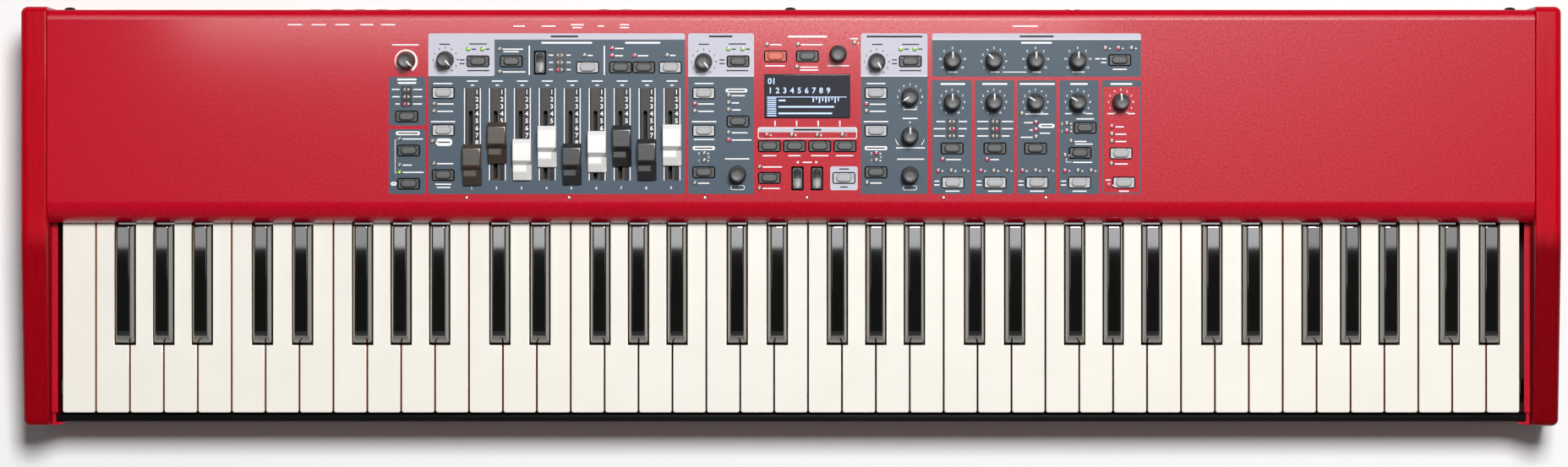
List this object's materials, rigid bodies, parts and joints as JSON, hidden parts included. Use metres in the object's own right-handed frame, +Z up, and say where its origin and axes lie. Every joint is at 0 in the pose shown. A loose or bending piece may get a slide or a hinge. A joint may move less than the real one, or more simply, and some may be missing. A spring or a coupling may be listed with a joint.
{
  "type": "stage keyboard",
  "caption": "Stage keyboard with hinged organ-style keys, drawbars, knobs and buttons on a bent metal panel between wooden cheeks.",
  "frame": {"origin": "on the floor, in the middle of the body's footprint", "axes": "+X to the player's right along the keys, +Y from the keys to the rear sockets, +Z up"},
  "size_m": [1.0622, 0.29, 0.0945],
  "materials": {
    "red_powder_coat": "fine-grained powder coat",
    "red_stained_wood": "red stain under satin lacquer",
    "slip_plastic": "satin",
    "foot_rubber": "matt",
    "keybed_metal": "plain",
    "circuit_board": "solder mask",
    "display_window": "clear window over a dark display",
    "white_keys": "satin gloss",
    "black_keys": "gloss",
    "brown_drawbars": "satin",
    "white_drawbars": "satin",
    "black_drawbars": "satin",
    "knobs": "soft touch",
    "buttons": "moulded silicone",
    "switch_plastic": "gloss"
  },
  "bodies": {
    "chassis": {"bottom_pan": "red_powder_coat", "top_panel": "red_powder_coat", "left_cheek": "red_stained_wood", "right_cheek": "red_stained_wood", "key_slip": "slip_plastic", "front_left_foot": "foot_rubber", "front_right_foot": "foot_rubber", "rear_left_foot": "foot_rubber", "rear_right_foot": "foot_rubber", "keybed_frame": "keybed_metal", "control_board": "circuit_board", "display_module": "display_window", "main_board": "circuit_board"},
    "key_c4": {"key_c4": "white_keys"},
    "key_c_sharp_4": {"key_c_sharp_4": "black_keys"},
    "key_e4": {"key_e4": "white_keys"},
    "white_keys_low": {"white_keys_low": "white_keys"},
    "black_keys_low": {"black_keys_low": "black_keys"},
    "white_keys_high": {"white_keys_high": "white_keys"},
    "black_keys_high": {"black_keys_high": "black_keys"},
    "drawbar_1": {"drawbar_1": "brown_drawbars"},
    "drawbar_2": {"drawbar_2": "brown_drawbars"},
    "drawbar_5": {"drawbar_5": "black_drawbars"},
    "drawbar_9": {"drawbar_9": "white_drawbars"},
    "organ_buttons": {"organ_buttons": "buttons"},
    "middle_buttons": {"middle_buttons": "buttons"},
    "effect_buttons": {"effect_buttons": "buttons"},
    "power_switch": {"power_switch": "switch_plastic"},
    "master_level_knob": {"master_level_knob": "knobs"},
    "organ_level_knob": {"organ_level_knob": "knobs"},
    "attack_knob": {"attack_knob": "knobs"},
    "reverb_knob": {"reverb_knob": "knobs"},
    "program_dial": {"program_dial": "knobs"},
    "piano_dial": {"piano_dial": "knobs"},
    "key_d4": {"key_d4": "white_keys"},
    "key_d_sharp_4": {"key_d_sharp_4": "black_keys"},
    "key_g4": {"key_g4": "white_keys"},
    "key_g_sharp_4": {"key_g_sharp_4": "black_keys"},
    "drawbar_3": {"drawbar_3": "white_drawbars"},
    "drawbar_7": {"drawbar_7": "black_drawbars"},
    "bass_knob": {"bass_knob": "knobs"},
    "speaker_drive_knob": {"speaker_drive_knob": "knobs"},
    "key_f4": {"key_f4": "white_keys"},
    "key_a4": {"key_a4": "white_keys"},
    "key_b4": {"key_b4": "white_keys"},
    "key_f_sharp_4": {"key_f_sharp_4": "black_keys"},
    "key_a_sharp_4": {"key_a_sharp_4": "black_keys"},
    "drawbar_4": {"drawbar_4": "white_drawbars"},
    "drawbar_6": {"drawbar_6": "white_drawbars"},
    "drawbar_8": {"drawbar_8": "black_drawbars"},
    "piano_level_knob": {"piano_level_knob": "knobs"},
    "sample_level_knob": {"sample_level_knob": "knobs"},
    "decay_knob": {"decay_knob": "knobs"},
    "middle_tuning_knob": {"middle_tuning_knob": "knobs"},
    "middle_gain_knob": {"middle_gain_knob": "knobs"},
    "treble_knob": {"treble_knob": "knobs"},
    "effect_one_knob": {"effect_one_knob": "knobs"},
    "effect_two_knob": {"effect_two_knob": "knobs"},
    "delay_knob": {"delay_knob": "knobs"},
    "sample_dial": {"sample_dial": "knobs"}
  },
  "joints": [
    {"name": "key_c4_hinge", "type": "hinge", "parent": "chassis", "child": "key_c4", "pos_m": [0, 0.0591, 0.042], "axis": [1, 0, 0], "range_deg": [0, 2.94], "stiffness_Nm_per_rad": 1, "springref_deg": -11.46},
    {"name": "key_c_sharp_4_hinge", "type": "hinge", "parent": "chassis", "child": "key_c_sharp_4", "pos_m": [0, 0.0591, 0.042], "axis": [1, 0, 0], "range_deg": [0, 2.94], "stiffness_Nm_per_rad": 1, "springref_deg": -8.59},
    {"name": "key_e4_hinge", "type": "hinge", "parent": "chassis", "child": "key_e4", "pos_m": [0, 0.0591, 0.042], "axis": [1, 0, 0], "range_deg": [0, 2.94], "stiffness_Nm_per_rad": 1, "springref_deg": -11.46},
    {"name": "white_keys_low_hinge", "type": "hinge", "parent": "chassis", "child": "white_keys_low", "pos_m": [0, 0.0591, 0.042], "axis": [1, 0, 0], "range_deg": [0, 2.94], "stiffness_Nm_per_rad": 19, "springref_deg": -11.46},
    {"name": "black_keys_low_hinge", "type": "hinge", "parent": "chassis", "child": "black_keys_low", "pos_m": [0, 0.0591, 0.042], "axis": [1, 0, 0], "range_deg": [0, 2.94], "stiffness_Nm_per_rad": 13, "springref_deg": -8.59},
    {"name": "white_keys_high_hinge", "type": "hinge", "parent": "chassis", "child": "white_keys_high", "pos_m": [0, 0.0591, 0.042], "axis": [1, 0, 0], "range_deg": [0, 2.94], "stiffness_Nm_per_rad": 17, "springref_deg": -11.46},
    {"name": "black_keys_high_hinge", "type": "hinge", "parent": "chassis", "child": "black_keys_high", "pos_m": [0, 0.0591, 0.042], "axis": [1, 0, 0], "range_deg": [0, 2.94], "stiffness_Nm_per_rad": 12, "springref_deg": -8.59},
    {"name": "drawbar_1_slide", "type": "slide", "parent": "chassis", "child": "drawbar_1", "axis": [0, -1, 0], "range_m": [-0.04, 0]},
    {"name": "drawbar_2_slide", "type": "slide", "parent": "chassis", "child": "drawbar_2", "axis": [0, -1, 0], "range_m": [-0.025, 0.015]},
    {"name": "drawbar_5_slide", "type": "slide", "parent": "chassis", "child": "drawbar_5", "axis": [0, -1, 0], "range_m": [-0.0395, 0.0005]},
    {"name": "drawbar_9_slide", "type": "slide", "parent": "chassis", "child": "drawbar_9", "axis": [0, -1, 0], "range_m": [-0.0265, 0.0135]},
    {"name": "organ_buttons_press", "type": "slide", "parent": "chassis", "child": "organ_buttons", "axis": [0, 0, -1], "range_m": [0, 0.0008], "stiffness_N_per_m": 1000, "springref_m": -0.0015},
    {"name": "middle_buttons_press", "type": "slide", "parent": "chassis", "child": "middle_buttons", "axis": [0, 0, -1], "range_m": [0, 0.0008], "stiffness_N_per_m": 1000, "springref_m": -0.0015},
    {"name": "effect_buttons_press", "type": "slide", "parent": "chassis", "child": "effect_buttons", "axis": [0, 0, -1], "range_m": [0, 0.0008], "stiffness_N_per_m": 1000, "springref_m": -0.0015},
    {"name": "power_switch_rock", "type": "hinge", "parent": "chassis", "child": "power_switch", "pos_m": [0.196, 0.1398, 0.034], "axis": [1, 0, 0], "range_deg": [0, 12]},
    {"name": "master_level_knob_turn", "type": "hinge", "parent": "chassis", "child": "master_level_knob", "pos_m": [-0.2652, 0.1074, 0.08], "axis": [0, 0, -1], "range_deg": [-283, 17]},
    {"name": "organ_level_knob_turn", "type": "hinge", "parent": "chassis", "child": "organ_level_knob", "pos_m": [-0.2384, 0.1081, 0.08], "axis": [0, 0, -1], "range_deg": [-289, 11]},
    {"name": "attack_knob_turn", "type": "hinge", "parent": "chassis", "child": "attack_knob", "pos_m": [0.0819, 0.0826, 0.08], "axis": [0, 0, -1], "range_deg": [-28, 272]},
    {"name": "reverb_knob_turn", "type": "hinge", "parent": "chassis", "child": "reverb_knob", "pos_m": [0.2273, 0.079, 0.08], "axis": [0, 0, -1], "range_deg": [-145, 155]},
    {"name": "program_dial_turn", "type": "hinge", "parent": "chassis", "child": "program_dial", "pos_m": [0.0324, 0.1122, 0.08], "axis": [0, 0, -1], "continuous": true},
    {"name": "piano_dial_turn", "type": "hinge", "parent": "chassis", "child": "piano_dial", "pos_m": [-0.0369, 0.0291, 0.08], "axis": [0, 0, -1], "continuous": true},
    {"name": "key_d4_hinge", "type": "hinge", "parent": "chassis", "child": "key_d4", "pos_m": [0, 0.0591, 0.042], "axis": [1, 0, 0], "range_deg": [0, 2.94], "stiffness_Nm_per_rad": 1, "springref_deg": -11.46},
    {"name": "key_d_sharp_4_hinge", "type": "hinge", "parent": "chassis", "child": "key_d_sharp_4", "pos_m": [0, 0.0591, 0.042], "axis": [1, 0, 0], "range_deg": [0, 2.94], "stiffness_Nm_per_rad": 1, "springref_deg": -8.59},
    {"name": "key_g4_hinge", "type": "hinge", "parent": "chassis", "child": "key_g4", "pos_m": [0, 0.0591, 0.042], "axis": [1, 0, 0], "range_deg": [0, 2.94], "stiffness_Nm_per_rad": 1, "springref_deg": -11.46},
    {"name": "key_g_sharp_4_hinge", "type": "hinge", "parent": "chassis", "child": "key_g_sharp_4", "pos_m": [0, 0.0591, 0.042], "axis": [1, 0, 0], "range_deg": [0, 2.94], "stiffness_Nm_per_rad": 1, "springref_deg": -8.59},
    {"name": "drawbar_3_slide", "type": "slide", "parent": "chassis", "child": "drawbar_3", "axis": [0, -1, 0], "range_m": [-0.0365, 0.0035]},
    {"name": "drawbar_7_slide", "type": "slide", "parent": "chassis", "child": "drawbar_7", "axis": [0, -1, 0], "range_m": [-0.027, 0.013]},
    {"name": "bass_knob_turn", "type": "hinge", "parent": "chassis", "child": "bass_knob", "pos_m": [0.1112, 0.1078, 0.08], "axis": [0, 0, -1], "range_deg": [-150, 150]},
    {"name": "speaker_drive_knob_turn", "type": "hinge", "parent": "chassis", "child": "speaker_drive_knob", "pos_m": [0.1685, 0.079, 0.08], "axis": [0, 0, -1], "range_deg": [-94, 206]},
    {"name": "key_f4_hinge", "type": "hinge", "parent": "chassis", "child": "key_f4", "pos_m": [0, 0.0591, 0.042], "axis": [1, 0, 0], "range_deg": [0, 2.94], "stiffness_Nm_per_rad": 1, "springref_deg": -11.46},
    {"name": "key_a4_hinge", "type": "hinge", "parent": "chassis", "child": "key_a4", "pos_m": [0, 0.0591, 0.042], "axis": [1, 0, 0], "range_deg": [0, 2.94], "stiffness_Nm_per_rad": 1, "springref_deg": -11.46},
    {"name": "key_b4_hinge", "type": "hinge", "parent": "chassis", "child": "key_b4", "pos_m": [0, 0.0591, 0.042], "axis": [1, 0, 0], "range_deg": [0, 2.94], "stiffness_Nm_per_rad": 1, "springref_deg": -11.46},
    {"name": "key_f_sharp_4_hinge", "type": "hinge", "parent": "chassis", "child": "key_f_sharp_4", "pos_m": [0, 0.0591, 0.042], "axis": [1, 0, 0], "range_deg": [0, 2.94], "stiffness_Nm_per_rad": 1, "springref_deg": -8.59},
    {"name": "key_a_sharp_4_hinge", "type": "hinge", "parent": "chassis", "child": "key_a_sharp_4", "pos_m": [0, 0.0591, 0.042], "axis": [1, 0, 0], "range_deg": [0, 2.94], "stiffness_Nm_per_rad": 1, "springref_deg": -8.59},
    {"name": "drawbar_4_slide", "type": "slide", "parent": "chassis", "child": "drawbar_4", "axis": [0, -1, 0], "range_m": [-0.0275, 0.0125]},
    {"name": "drawbar_6_slide", "type": "slide", "parent": "chassis", "child": "drawbar_6", "axis": [0, -1, 0], "range_m": [-0.031, 0.009]},
    {"name": "drawbar_8_slide", "type": "slide", "parent": "chassis", "child": "drawbar_8", "axis": [0, -1, 0], "range_m": [-0.0365, 0.0035]},
    {"name": "piano_level_knob_turn", "type": "hinge", "parent": "chassis", "child": "piano_level_knob", "pos_m": [-0.0603, 0.1068, 0.08], "axis": [0, 0, -1], "range_deg": [-294, 6]},
    {"name": "sample_level_knob_turn", "type": "hinge", "parent": "chassis", "child": "sample_level_knob", "pos_m": [0.0591, 0.1068, 0.08], "axis": [0, 0, -1], "range_deg": [-300, 0]},
    {"name": "decay_knob_turn", "type": "hinge", "parent": "chassis", "child": "decay_knob", "pos_m": [0.0819, 0.0557, 0.08], "axis": [0, 0, -1], "range_deg": [-150, 150]},
    {"name": "middle_tuning_knob_turn", "type": "hinge", "parent": "chassis", "child": "middle_tuning_knob", "pos_m": [0.1398, 0.1078, 0.08], "axis": [0, 0, -1], "range_deg": [-103, 197]},
    {"name": "middle_gain_knob_turn", "type": "hinge", "parent": "chassis", "child": "middle_gain_knob", "pos_m": [0.1685, 0.1078, 0.08], "axis": [0, 0, -1], "range_deg": [-150, 150]},
    {"name": "treble_knob_turn", "type": "hinge", "parent": "chassis", "child": "treble_knob", "pos_m": [0.1976, 0.1078, 0.08], "axis": [0, 0, -1], "range_deg": [-150, 150]},
    {"name": "effect_one_knob_turn", "type": "hinge", "parent": "chassis", "child": "effect_one_knob", "pos_m": [0.111, 0.079, 0.08], "axis": [0, 0, -1], "range_deg": [-150, 150]},
    {"name": "effect_two_knob_turn", "type": "hinge", "parent": "chassis", "child": "effect_two_knob", "pos_m": [0.1398, 0.079, 0.08], "axis": [0, 0, -1], "range_deg": [-150, 150]},
    {"name": "delay_knob_turn", "type": "hinge", "parent": "chassis", "child": "delay_knob", "pos_m": [0.1976, 0.079, 0.08], "axis": [0, 0, -1], "range_deg": [-91, 209]},
    {"name": "sample_dial_turn", "type": "hinge", "parent": "chassis", "child": "sample_dial", "pos_m": [0.0819, 0.0286, 0.08], "axis": [0, 0, -1], "continuous": true}
  ]
}
